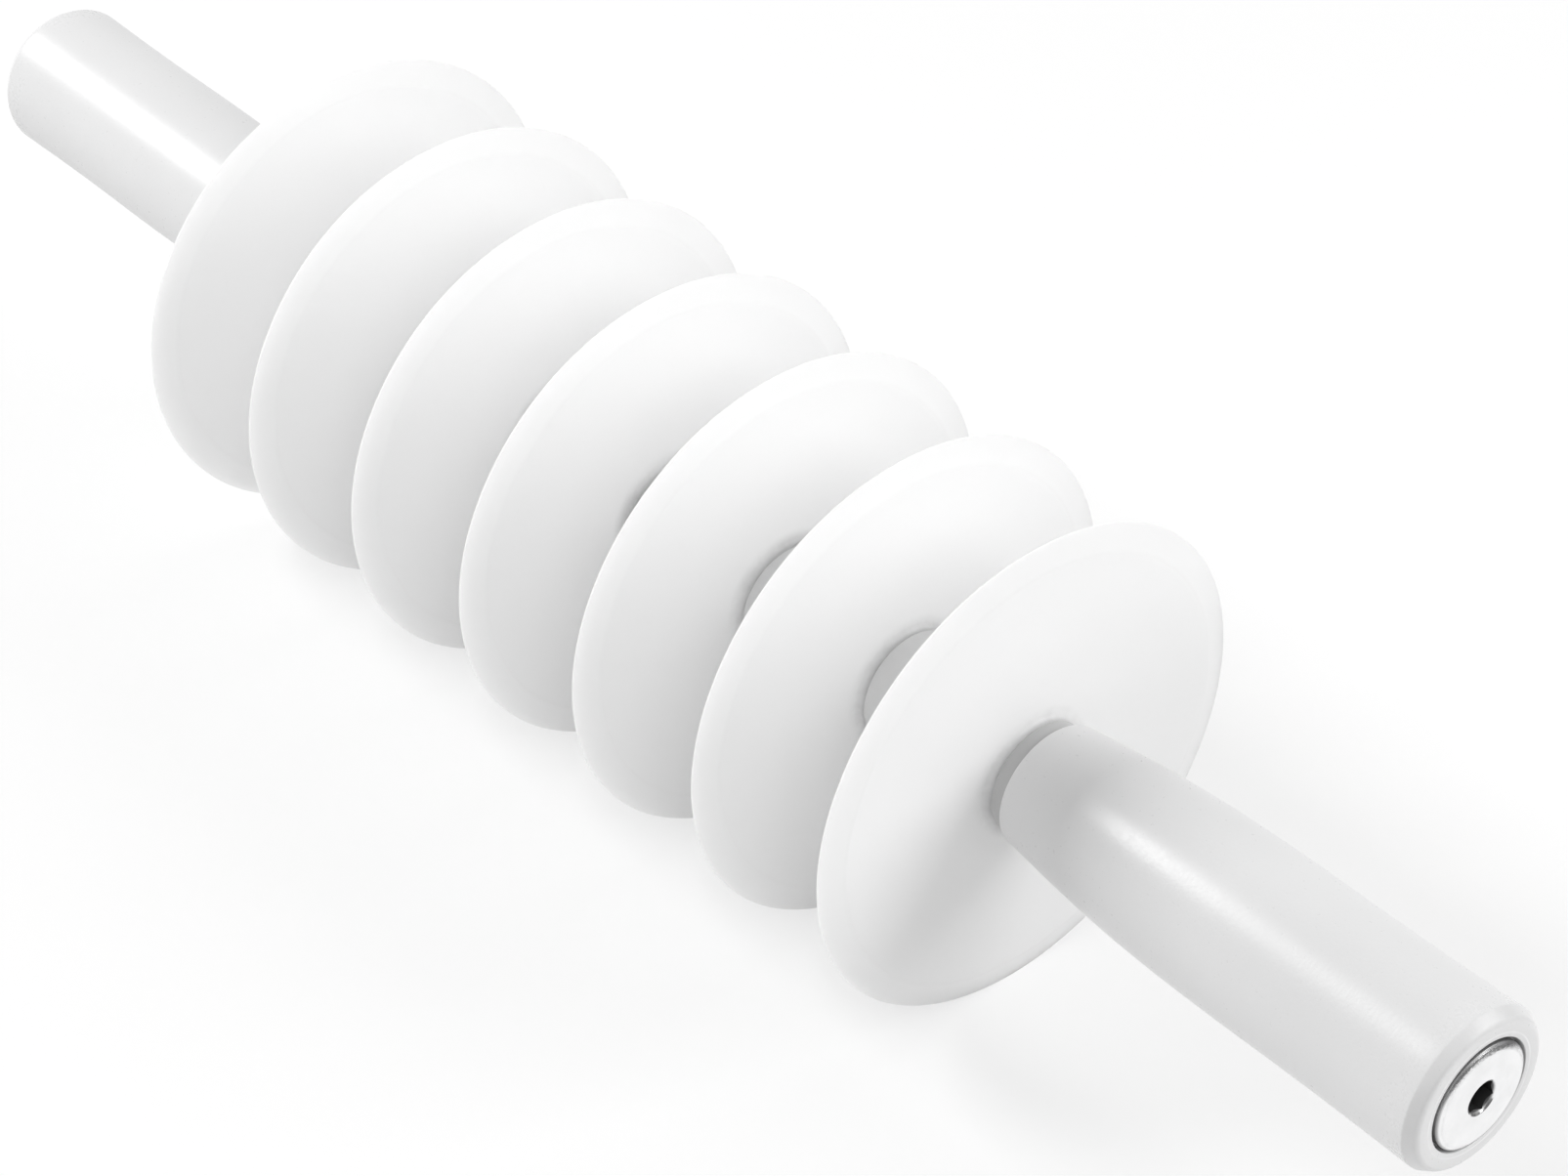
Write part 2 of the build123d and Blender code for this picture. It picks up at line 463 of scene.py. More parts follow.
def add_range(tree, value, low, high, to_low, to_high, smooth=False):
    """Adds a Map Range node that takes low to high over to to_low to to_high."""
    node = add_node(tree, "ShaderNodeMapRange",
                    {"From Min": low, "From Max": high, "To Min": to_low, "To Max": to_high},
                    interpolation_type="SMOOTHSTEP" if smooth else "LINEAR")
    tree.links.new(value, node.inputs["Value"])
    return node.outputs["Result"]


def add_mix(tree, share, first, second):
    """Adds a colour mix. Each colour is four numbers or an output socket."""
    node = add_node(tree, "ShaderNodeMix", data_type="RGBA")
    # The colour sockets are the seventh and eighth inputs and the third output
    for value, index in ((share, 0), (first, 6), (second, 7)):
        feed(tree, value, node.inputs[index])
    return node.outputs[2]


def add_texture(tree, kind, place, scale, **shape):
    """Adds a texture read at a place. Its scale is a number or an output socket."""
    node = add_node(tree, kind, shape)
    tree.links.new(place, node.inputs["Vector"])
    feed(tree, scale, node.inputs["Scale"])
    return node


def add_noise(tree, place, scale, **shape):
    return add_texture(tree, "ShaderNodeTexNoise", place, scale, **shape).outputs["Fac"]


def add_cells(tree, place, scale):
    """Adds a Voronoi texture that gives the distance to the middle of each cell."""
    return add_texture(tree, "ShaderNodeTexVoronoi", place, scale).outputs["Distance"]


def arrange(tree):
    """Sets a tree's nodes out in columns, each as far back as its longest way to the end."""
    column_width, row_height = 200, 280
    columns = {node.name: 0 for node in tree.nodes}
    for _ in columns:
        for link in tree.links:
            before, after = link.from_node.name, link.to_node.name
            columns[before] = max(columns[before], columns[after] + 1)
    rows = Counter()
    for name, column in columns.items():
        tree.nodes[name].location = (-column_width * column, -row_height * rows[column])
        rows[column] += 1


def radius_of(tree, place):
    """Adds the nodes that measure how far a point is from the axis. Returns radius and X."""
    split = add_node(tree, "ShaderNodeSeparateXYZ")
    tree.links.new(place, split.inputs[0])
    across = add_node(tree, "ShaderNodeCombineXYZ")
    for axis in "YZ":
        tree.links.new(split.outputs[axis], across.inputs[axis])
    size = add_node(tree, "ShaderNodeVectorMath", operation="LENGTH")
    tree.links.new(across.outputs[0], size.inputs[0])
    return size.outputs["Value"], split.outputs["X"]


def turning_marks(group, given):
    """Fine uneven circles left by a turning tool, as a height from 0 to 1."""
    path = add_math(group, "ADD", *radius_of(group, given["Place"]))
    marks = add_node(group, "ShaderNodeTexNoise",
                     {"Scale": 1.0, "Detail": 3.0, "Roughness": 0.6}, noise_dimensions="1D")
    group.links.new(add_math(group, "MULTIPLY", path, given["Marks"]), marks.inputs["W"])
    patches = add_noise(group, given["Place"], given["Fading"], Detail=2.0)
    strength = add_range(group, patches, 0.35, 0.65, 0.35, 1.0)
    return add_math(group, "MULTIPLY", marks.outputs["Fac"], strength)


def moulded_grain(group, given):
    """Fine soft unevenness of a plastic's skin with a few tiny pits, as a height from 0 to 1."""
    skin = add_noise(group, given["Place"], given["Grains"], Detail=4.0, Roughness=0.55)
    pit_count = add_math(group, "MULTIPLY", given["Grains"], 0.22)
    pits = add_cells(group, given["Place"], pit_count)
    depth = add_range(group, pits, 0.0, 0.16, 1.0, 0.0, smooth=True)
    return add_math(group, "SUBTRACT", skin, add_math(group, "MULTIPLY", depth, given["Pits"]))


def rubbed_edge(group, given):
    """A broken band round the axis at one radius, where an edge has been rubbed, as a mask."""
    radius, _ = radius_of(group, given["Place"])
    away = add_math(group, "SUBTRACT", radius, given["Radius"])
    away = add_math(group, "DIVIDE", add_math(group, "ABSOLUTE", away), given["Width"])
    band = add_range(group, away, 0.0, 1.0, 1.0, 0.0, smooth=True)
    patches = add_noise(group, given["Place"], given["Patches"], Detail=5.0, Roughness=0.65)
    return add_math(group, "MULTIPLY", band, add_range(group, patches, 0.4, 0.62, 0.15, 1.0))


def hairline_scuffs(group, given):
    """Short hairline scuffs in two directions, gathered in patches, as a mask."""
    lines = []
    for turn in ((0.4, 0.9, 0.3), (1.3, -0.5, 0.8)):
        turned = add_node(group, "ShaderNodeVectorRotate", {"Rotation": turn},
                          rotation_type="EULER_XYZ")
        group.links.new(given["Place"], turned.inputs["Vector"])
        lay = add_node(group, "ShaderNodeMapping", {"Scale": (90.0, 90.0, 2600.0)})
        group.links.new(turned.outputs[0], lay.inputs["Vector"])
        hairs = add_noise(group, lay.outputs[0], 1.0, Detail=1.0)
        lines.append(add_range(group, hairs, 0.66, 0.74, 0.0, 1.0))
    both = add_math(group, "MAXIMUM", *lines)
    patches = add_noise(group, given["Place"], 45.0, Detail=2.0)
    gathered = add_range(group, patches, 0.45, 0.65, 0.0, 1.0)
    shown = add_math(group, "MULTIPLY", both, gathered)
    return add_math(group, "MULTIPLY", shown, given["Amount"])


def cloudy_tone(group, given):
    """Two near tones mixed in soft clouds, as the colour of a plastic or a metal varies."""
    clouds = add_noise(group, given["Place"], given["Clouds"], Detail=4.0, Roughness=0.5)
    share = add_range(group, clouds, 0.35, 0.65, 0.0, 1.0)
    return add_mix(group, share, given["Light tone"], given["Deep tone"])


def sparse_specks(group, given):
    """A few small round specks, far apart, as a mask."""
    cells = add_cells(group, given["Place"], given["Number"])
    reach = add_math(group, "MULTIPLY", given["Number"], given["Size"])
    share = add_math(group, "DIVIDE", cells, reach)
    return add_range(group, share, 0.4, 1.0, 1.0, 0.0, smooth=True)


# Shared effects: what makes each, the name of its output, and its inputs beside the place
EFFECTS = {
    "Turning marks": (turning_marks, "Height", {"Marks": 4000.0, "Fading": 60.0}),
    "Moulded grain": (moulded_grain, "Height", {"Grains": 1800.0, "Pits": 0.4}),
    "Rubbed edge": (rubbed_edge, "Mask", {"Radius": 0.04, "Width": 0.001, "Patches": 120.0}),
    "Hairline scuffs": (hairline_scuffs, "Mask", {"Amount": 0.5}),
    "Cloudy tone": (cloudy_tone, "Color", {"Light tone": (0.9, 0.9, 0.9, 1.0),
                                           "Deep tone": (0.8, 0.8, 0.8, 1.0), "Clouds": 30.0}),
    "Sparse specks": (sparse_specks, "Mask", {"Number": 45.0, "Size": 0.0004}),
}


def make_effect(name):
    """Makes one of the shared effects, a node group that is read at a place."""
    make, output, inputs = EFFECTS[name]
    group = bpy.data.node_groups.new(name, "ShaderNodeTree")
    sockets = group.interface
    sockets.new_socket("Place", in_out="INPUT", socket_type="NodeSocketVector")
    for label, default in inputs.items():
        kind = "NodeSocketFloat" if isinstance(default, float) else "NodeSocketColor"
        sockets.new_socket(label, in_out="INPUT", socket_type=kind).default_value = default
    kind = "NodeSocketColor" if output == "Color" else "NodeSocketFloat"
    sockets.new_socket(output, in_out="OUTPUT", socket_type=kind)
    given, end = add_node(group, "NodeGroupInput"), add_node(group, "NodeGroupOutput")
    group.links.new(make(group, given.outputs), end.inputs[0])
    arrange(group)
    return group


def use_effect(tree, name, place, **values):
    """Places one of the shared effects in a material and returns its output."""
    group = bpy.data.node_groups.get(name) or make_effect(name)
    node = add_node(tree, "ShaderNodeGroup", node_tree=group)
    tree.links.new(place, node.inputs["Place"])
    for key, value in values.items():
        node.inputs[key.replace("_", " ")].default_value = value
    return node.outputs[0]


def toned(colour, share):
    """A colour with each of its parts times a share, as a socket takes it."""
    return (*(part * share for part in colour), 1.0)


def add_tone(tree, place, colour, deep, clouds):
    """Adds a colour that varies in soft clouds down to its deep share."""
    return use_effect(tree, "Cloudy tone", place, Light_tone=(*colour, 1.0),
                      Deep_tone=toned(colour, deep), Clouds=clouds)


def add_band(tree, place, radius, width, patches):
    return use_effect(tree, "Rubbed edge", place, Radius=radius, Width=width, Patches=patches)


def lay_mark(tree, mask, strength, under, colour, tone):
    """Lays a toned colour over what is under it, where a mask shows and as strongly as given."""
    share = add_math(tree, "MULTIPLY", mask, strength)
    return add_mix(tree, share, under, toned(colour, tone))


def new_material(name, **constants):
    """Starts a material with a Principled shader. Returns it with its tree, shader and place."""
    material = bpy.data.materials.new(name)
    material.use_nodes = True
    tree = material.node_tree
    shader = tree.nodes["Principled BSDF"]
    for key, value in constants.items():
        shader.inputs[key.replace("_", " ")].default_value = value
    return material, tree, shader, add_node(tree, "ShaderNodeTexCoord").outputs["Object"]


def finish_look(material, colour, roughness, height, depth):
    """Feeds a shader its colour, roughness and, through a bump as deep as depth, its normal."""
    tree = material.node_tree
    look = tree.nodes["Principled BSDF"].inputs
    bump = add_node(tree, "ShaderNodeBump", {"Strength": 1.0, "Distance": depth})
    for value, socket in ((colour, look["Base Color"]), (roughness, look["Roughness"]),
                          (height, bump.inputs["Height"]), (bump.outputs[0], look["Normal"])):
        tree.links.new(value, socket)
    arrange(tree)
    return material


def make_plastic(name, colour, roughness, edge_radius, edge_width, marks, mark_share, depth,
                 glow=0.0, rim_glow_start=0.0, root_shade_radius=0.0, root_shade=0.0, end_highlight_radius=0.0):
    """Satin white plastic, turned or moulded, with a rubbed edge, hairline scuffs and a fine skin.

    Glow is how far light spreads inside it, which brightens thin pieces that stand close together.
    From the start of its rim outwards, a blade is painted paler than its web, a painted glow for
    light passing through the thin rim.
    Painted shade darkens the corner at its radius, where a blade meets its hub.
    A painted highlight pales a thin line on an end at its radius, along the round of its edge.
    """
    # Widths of the painted rim glow, the painted shade at the root and the painted highlight on an
    # end
    rim_glow_blend, root_shade_width, end_highlight_width = 0.8 * MM, 2.8 * MM, 0.22 * MM
    material, tree, shader, place = new_material(name, IOR=1.54)
    if glow:
        shader.inputs["Subsurface Weight"].default_value = 1.0
        shader.inputs["Subsurface Radius"].default_value = (1.0, 1.0, 1.0)
        shader.inputs["Subsurface Scale"].default_value = glow
    marked = add_tone(tree, place, colour, 0.975, 26.0)
    rubbed = add_band(tree, place, edge_radius, edge_width, 140.0)
    scuffs = use_effect(tree, "Hairline scuffs", place, Amount=0.6)
    specks = use_effect(tree, "Sparse specks", place, Number=45.0, Size=0.4 * MM)
    for mask, strength, tone in ((rubbed, 0.5, 1.05), (scuffs, 0.15, 0.9), (specks, 0.7, 0.7)):
        marked = lay_mark(tree, mask, strength, marked, colour, tone)
    # Painted light: the rim is painted paler, a painted glow for light passing through the thin
    # bevel
    if rim_glow_start:
        radius, _ = radius_of(tree, place)
        ground = add_range(tree, radius, rim_glow_start, rim_glow_start + rim_glow_blend, 0.0, 0.8)
        marked = add_mix(tree, ground, marked, (1.0, 1.0, 1.0, 1.0))
    # Painted shade: the corner where the blade meets its hub is painted darker
    if root_shade:
        painted_root_shade = add_band(tree, place, root_shade_radius, root_shade_width, 60.0)
        marked = lay_mark(tree, painted_root_shade, root_shade, marked, colour, 0.45)
    # Painted highlight: a thin pale line is painted along the round of the handle's inner end
    if end_highlight_radius:
        painted_end_highlight = add_band(tree, place, end_highlight_radius, end_highlight_width, 90.0)
        marked = lay_mark(tree, painted_end_highlight, 0.8, marked, colour, 1.25)
    turned = use_effect(tree, "Turning marks", place, Marks=marks, Fading=50.0)
    grain = use_effect(tree, "Moulded grain", place, Grains=1500.0, Pits=0.12)
    sheen = add_range(tree, grain, 0.3, 0.7, roughness - 0.04, roughness + 0.04)
    scuffed = add_math(tree, "MULTIPLY", scuffs, 0.12)
    smoother = add_math(tree, "MULTIPLY", rubbed, -0.08)
    worn = add_math(tree, "ADD", scuffed, smoother)
    circles = add_math(tree, "MULTIPLY", turned, mark_share)
    skin = add_math(tree, "MULTIPLY", grain, 1 - mark_share)
    height = add_math(tree, "ADD", circles, skin)
    cut = add_math(tree, "MULTIPLY", scuffs, -0.15)
    return finish_look(material, marked, add_math(tree, "ADD", sheen, worn),
                       add_math(tree, "ADD", height, cut), depth)


def make_plating(name, colour, roughness, edge_radius, edge_width, head_radius, socket_radius, face,
                 socket_shade_tone):
    """Bright plated steel over turned circles, dulled by fine scuffs and rubbed at its edge.
    The rubbed band is painted darker, partly wear and partly a painted dark reflection on the
    bevel.

    Painted shade darkens the inside of the socket, within its radius and under the face, and
    the side of the head.
    """
    material, tree, _, place = new_material(name, Metallic=1.0)
    tone = add_tone(tree, place, colour, 0.93, 220.0)
    # The band at the face's edge is painted darker: partly wear, partly a painted dark reflection
    # on the bevel
    rubbed = add_band(tree, place, edge_radius, edge_width, 700.0)
    bright = lay_mark(tree, rubbed, 0.35, tone, colour, 0.72)
    # Painted shade: the inside of the socket and the side of the head are painted dark, where shade
    # falls in the hollows
    radius, along = radius_of(tree, place)
    inside = add_range(tree, radius, socket_radius, socket_radius - 0.2 * MM, 0.0, 1.0)
    deep = add_range(tree, add_math(tree, "ABSOLUTE", along),
                     face - 0.2 * MM, face - 0.5 * MM, 0.0, 1.0)
    side = add_range(tree, radius, head_radius - 0.45 * MM, head_radius - 0.1 * MM, 0.0, 0.7)
    scale = add_math(tree, "MAXIMUM", add_math(tree, "MULTIPLY", inside, deep), side)
    marked = add_mix(tree, scale, bright, toned(colour, socket_shade_tone))
    turned = use_effect(tree, "Turning marks", place, Marks=5200.0, Fading=300.0)
    scuffs = use_effect(tree, "Hairline scuffs", place, Amount=0.8)
    sheen = add_range(tree, turned, 0.2, 0.8, roughness - 0.03, roughness + 0.05)
    worn = add_math(tree, "ADD", sheen, add_math(tree, "MULTIPLY", scuffs, 0.15))
    shade_roughening = add_math(tree, "MULTIPLY", scale, 0.35)
    grain = use_effect(tree, "Moulded grain", place, Grains=3200.0, Pits=0.0)
    circles = add_math(tree, "MULTIPLY", turned, 0.7)
    skin = add_math(tree, "MULTIPLY", grain, 0.3)
    # Small dents all along the bevel round the face
    dents = add_band(tree, place, edge_radius + 0.5 * edge_width, 2.2 * edge_width, 1300.0)
    dented = add_math(tree, "MULTIPLY", dents, 5.0)
    height = add_math(tree, "ADD", circles, skin)
    return finish_look(material, marked, add_math(tree, "ADD", worn, shade_roughening),
                       add_math(tree, "ADD", height, dented), PLATING_DEPTH)


def make_steel(name, colour, roughness, drawn):
    """Bare steel, with lines along the bar where it is drawn and circles where it is turned."""
    material, tree, _, place = new_material(name, Metallic=1.0)
    tone = add_tone(tree, place, colour, 0.85, 160.0)
    scuffs = use_effect(tree, "Hairline scuffs", place, Amount=0.7)
    if drawn:
        lay = add_node(tree, "ShaderNodeMapping", {"Scale": (40.0, 2600.0, 2600.0)})
        tree.links.new(place, lay.inputs["Vector"])
        height = add_noise(tree, lay.outputs[0], 1.0, Detail=3.0)
    else:
        height = use_effect(tree, "Turning marks", place, Marks=4200.0, Fading=200.0)
    sheen = add_range(tree, height, 0.3, 0.7, roughness - 0.06, roughness + 0.08)
    marked = lay_mark(tree, scuffs, 0.4, tone, colour, 0.7)
    return finish_look(material, marked, sheen, height, STEEL_DEPTH)


# Operators

class CUTTER_OT_blades(bpy.types.Operator):
    """Turn one blade with its hub, and copy it to the seven places on the axle"""
    bl_idname = "cutter.blades"
    bl_label = "Blades"
    bl_options = {"REGISTER", "UNDO"}

    def execute(self, context):
        size = context.scene.cutter.blade
        edge_break = context.scene.cutter.ring.edge_break
        nose_steps, bevel_steps = 10, 8
        web, hub = size.thickness / 2, size.hub_width / 2
        bore = axle_box[1].z + size.bore_slip
        bevel_start, edge_start = size.radius - size.bevel_width, size.radius - size.edge_radius
        nose = [(size.edge_radius * math.cos(angle),
                 edge_start + size.edge_radius * math.sin(angle))
                for angle in (math.pi * step / nose_steps for step in range(1, nose_steps + 1))]
        outline = [(hub, bore), (hub, size.hub_radius), (web, size.hub_radius), (web, bevel_start),
                   *bulged((web, bevel_start), (size.edge_radius, edge_start),
                           size.bevel_bulge, bevel_steps),
                   *nose,
                   *bulged((-size.edge_radius, edge_start), (-web, bevel_start),
                           size.bevel_bulge, bevel_steps),
                   (-web, size.hub_radius), (-hub, size.hub_radius), (-hub, bore), (hub, bore)]
        first = draw_outline("cutting_blade_4", outline)
        spin_outline(size.segments)
        bevel_circles(first, edge_break, 2, (hub, bore), (hub, size.hub_radius),
                      (-hub, bore), (-hub, size.hub_radius))
        bevel_circles(first, size.root_radius, 5, (web, size.hub_radius), (-web, size.hub_radius))
        finish_shape(first, TURNED_CORNER, (web, bevel_start), (-web, bevel_start))
        material = make_plastic("Blade plastic", size.colour, size.roughness,
                                edge_radius=size.radius, edge_width=1.1 * MM,
                                marks=2600.0, mark_share=0.35, depth=SKIN_DEPTH,
                                glow=size.glow, rim_glow_start=bevel_start,
                                root_shade_radius=size.hub_radius, root_shade=size.root_shade)
        nodes = [f"blade_{number}" for number in range(1, BLADE_COUNT + 1)]
        mount_row(first, "blade_4", nodes, "cutting_", material)
        return {"FINISHED"}


def turn_collar(name, start, width, size):
    """A short tube from start along the axis: a cylinder with a bridged bore and broken edges."""
    bore = axle_box[1].z + bpy.context.scene.cutter.blade.bore_slip
    deselect_all()
    bpy.ops.mesh.primitive_cylinder_add(vertices=size.segments, radius=size.radius, depth=width,
                                        location=(start + width / 2, 0, 0),
                                        rotation=(0, math.pi / 2, 0))
    collar = name_piece(name, settle=True)
    bpy.ops.object.mode_set(mode="EDIT")
    bpy.ops.mesh.select_mode(type="FACE")
    bpy.ops.mesh.select_all(action="DESELECT")
    mesh = bmesh.from_edit_mesh(collar.data)
    for face in mesh.faces:
        face.select = abs(face.normal.x) > 0.9
    bmesh.update_edit_mesh(collar.data)
    # The bore's corners lie on its circle, but the inset is measured to its flats
    inset = (size.radius - bore) * math.cos(math.pi / size.segments)
    bpy.ops.mesh.inset(thickness=inset, use_boundary=True)
    bpy.ops.mesh.bridge_edge_loops()
    bevel_circles(collar, size.edge_break, 2, *[(x, around) for x in (start, start + width)
                                                for around in (size.radius, bore)])
    return finish_shape(collar, TURNED_CORNER)


class CUTTER_OT_rings(bpy.types.Operator):
    """Make one spacer ring, and copy it to the thirty places between the blades"""
    bl_idname = "cutter.rings"
    bl_label = "Spacer Rings"
    bl_options = {"REGISTER", "UNDO"}

    def execute(self, context):
        size = context.scene.cutter.ring
        first = turn_collar("spacer_ring_1_1", ring_box[0].x, size.ring_width, size)
        material = make_plastic("Ring plastic", size.colour, size.roughness,
                                edge_radius=size.radius, edge_width=0.15 * MM,
                                marks=3200.0, mark_share=0.5, depth=SKIN_DEPTH)
        nodes = [f"ring_{gap}_{number}" for gap in range(1, GAP_COUNT + 1)
                 for number in range(1, RINGS_PER_GAP + 1)]
        mount_row(first, "ring_1_1", nodes, "spacer_", material)
        return {"FINISHED"}


class CUTTER_OT_washers(bpy.types.Operator):
    """Make the washer that each handle turns against"""
    bl_idname = "cutter.washers"
    bl_label = "Washers"
    bl_options = {"REGISTER", "UNDO"}

    def execute(self, context):
        size = context.scene.cutter.ring
        material = make_plastic("Washer plastic", size.washer_shade_colour, size.roughness - 0.06,
                                edge_radius=size.radius, edge_width=0.15 * MM,
                                marks=3200.0, mark_share=0.6, depth=SKIN_DEPTH)
        right = turn_collar("thrust_washer_right", washer_box[0].x, size.washer_width, size)
        mount_pair(right, "washer", material)
        return {"FINISHED"}


class CUTTER_OT_handles(bpy.types.Operator):
    """Turn the right handle with its taper, rim, recess and bore, and mirror it to the left"""
    bl_idname = "cutter.handles"
    bl_label = "Handles"
    bl_options = {"REGISTER", "UNDO"}

    def execute(self, context):
        size = context.scene.cutter.handle
        start, end = handle_box[0].x, handle_box[1].x
        body = end - size.rim_length - start
        rise = size.grip_radius - size.inner_radius
        crest = (end - size.rim_length, size.crest_radius)
        rim = (end, size.crest_radius - size.rim_drop)
        mouth, floor = (end, size.recess_radius), end - size.recess_depth
        bore = sleeve_box[1].z + size.bore_slip
        knots = [(start, size.inner_radius),
                 *[(start + along * body, size.inner_radius + up * rise)
                   for along, up in TAPER_SHARES],
                 crest]
        outline = [*smooth_run(knots, TAPER_STEPS), rim, mouth, (floor, size.recess_radius),
                   (floor, bore), (start, bore), (start, size.inner_radius)]
        right = draw_outline("grip_handle_right", outline)
        spin_outline(size.segments)
        rim_turn = math.atan2(size.rim_drop, size.rim_length)
        bevel_circles(right, size.crest_round * math.tan(rim_turn / 2), 4, crest)
        bevel_circles(right, size.face_round * math.tan((math.pi / 2 - rim_turn) / 2), 7, rim)
        bevel_circles(right, size.inner_round, 5, (start, size.inner_radius))
        bevel_circles(right, size.recess_mouth, 3, mouth)
        bevel_circles(right, size.bore_chamfer, 1, (floor, bore), (start, bore))
        finish_shape(right, TURNED_CORNER)
        material = make_plastic("Handle plastic", size.colour, size.roughness,
                                edge_radius=size.crest_radius, edge_width=0.12 * MM,
                                marks=2200.0, mark_share=0.3, depth=HANDLE_SKIN_DEPTH,
                                end_highlight_radius=size.inner_radius - 0.3 * size.inner_round)
        mount_pair(right, "handle", material, "grip_right", "grip_left")
        return {"FINISHED"}


class CUTTER_OT_screws(bpy.types.Operator):
    """Turn the right end screw, cut its hexagon socket, and mirror it to the left"""
    bl_idname = "cutter.screws"
    bl_label = "End Screws"
    bl_options = {"REGISTER", "UNDO"}

    def execute(self, context):
        size = context.scene.cutter.screw
        face, tip = screw_box[1].x, screw_box[0].x
        seat = face - size.head_height
        root = size.thread_radius - size.thread_depth
        corner = size.key_size / 2 / math.cos(math.pi / 6)
        mouth = corner + size.socket_mouth
        outline = [(face - mouth, 0), (face, mouth), (face, size.face_radius),
                   (face - size.bevel_height, size.head_radius), (seat, size.head_radius),
                   (seat, size.thread_radius), (seat - size.neck_length, size.thread_radius)]
        grooves = int((seat - size.neck_length - tip) / size.thread_pitch) - 1
        for groove in range(grooves):
            groove_x = seat - size.neck_length - groove * size.thread_pitch
            outline += [(groove_x - size.thread_pitch / 2, root),
                        (groove_x - size.thread_pitch, size.thread_radius)]
        outline += [(tip + size.thread_depth, size.thread_radius), (tip, root), (tip, 0)]
        right = draw_outline("end_screw_right", outline)
        spin_outline(size.segments)
        bevel_circles(right, size.edge_round, 3, (face, mouth),
                      (face - size.bevel_height, size.head_radius), (seat, size.head_radius))
        bevel_circles(right, size.face_round, 8, (face, size.face_radius))
        # A hexagonal cutter, and a cone for the drilled bottom of the socket
        cone_height = size.key_size / 2 / DRILL_SLOPE
        deselect_all()
        bpy.ops.mesh.primitive_cylinder_add(
            vertices=6, radius=corner, depth=2 * size.socket_depth, location=(face, 0, 0),
            rotation=(math.pi / 2, size.socket_turn, math.pi / 2))
        hexagon = name_piece("socket_cutter", settle=True)
        deselect_all()
        bpy.ops.mesh.primitive_cone_add(
            vertices=48, radius1=size.key_size / 2, depth=cone_height,
            location=(face - size.socket_depth - cone_height / 2, 0, 0),
            rotation=(0, -math.pi / 2, 0))
        for cutter in (hexagon, name_piece("drill_cutter", settle=True)):
            pick_piece(right)
            cut = right.modifiers.new(cutter.name, "BOOLEAN")
            cut.operation, cut.solver, cut.object = "DIFFERENCE", "EXACT", cutter
            bpy.ops.object.modifier_apply(modifier=cut.name)
            bpy.data.objects.remove(cutter)
        finish_shape(right, SCREW_CORNER)
        material = make_plating("Bright plating", size.colour, size.roughness,
                                edge_radius=size.face_radius, edge_width=0.35 * MM,
                                head_radius=size.head_radius, socket_radius=mouth, face=face,
                                socket_shade_tone=size.socket_shade_tone)
        mount_pair(right, "screw", material)
        return {"FINISHED"}


class CUTTER_OT_steel(bpy.types.Operator):
    """Finish the axle rod and the bearing sleeves, which keep their own shapes"""
    bl_idname = "cutter.steel"
    bl_label = "Axle and Sleeves"
    bl_options = {"REGISTER", "UNDO"}

    def execute(self, context):
        looks = context.scene.cutter.steel
        drawn = make_steel("Drawn steel", looks.axle_colour, looks.roughness, drawn=True)
        turned = make_steel("Turned steel", looks.sleeve_colour, looks.roughness, drawn=False)
        for node, material in (("axle", drawn), ("sleeve_left", turned), ("sleeve_right", turned)):
            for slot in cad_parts[node].material_slots:
                slot.material = material
        return {"FINISHED"}


def add_lamp(name, place, width, height, power):
    """A soft rectangular lamp aimed at the middle of the axle, with its width along the axle."""
    away = Vector(place).normalized()
    across = away.cross((1, 0, 0)).normalized()
    turn = Matrix((across.cross(away), across, away)).transposed().to_euler()
    bpy.ops.object.light_add(type="AREA", location=place, rotation=turn)
    lamp = name_piece(name)
    lamp.data.shape = "RECTANGLE"
    lamp.data.size, lamp.data.size_y, lamp.data.energy = width, height, power


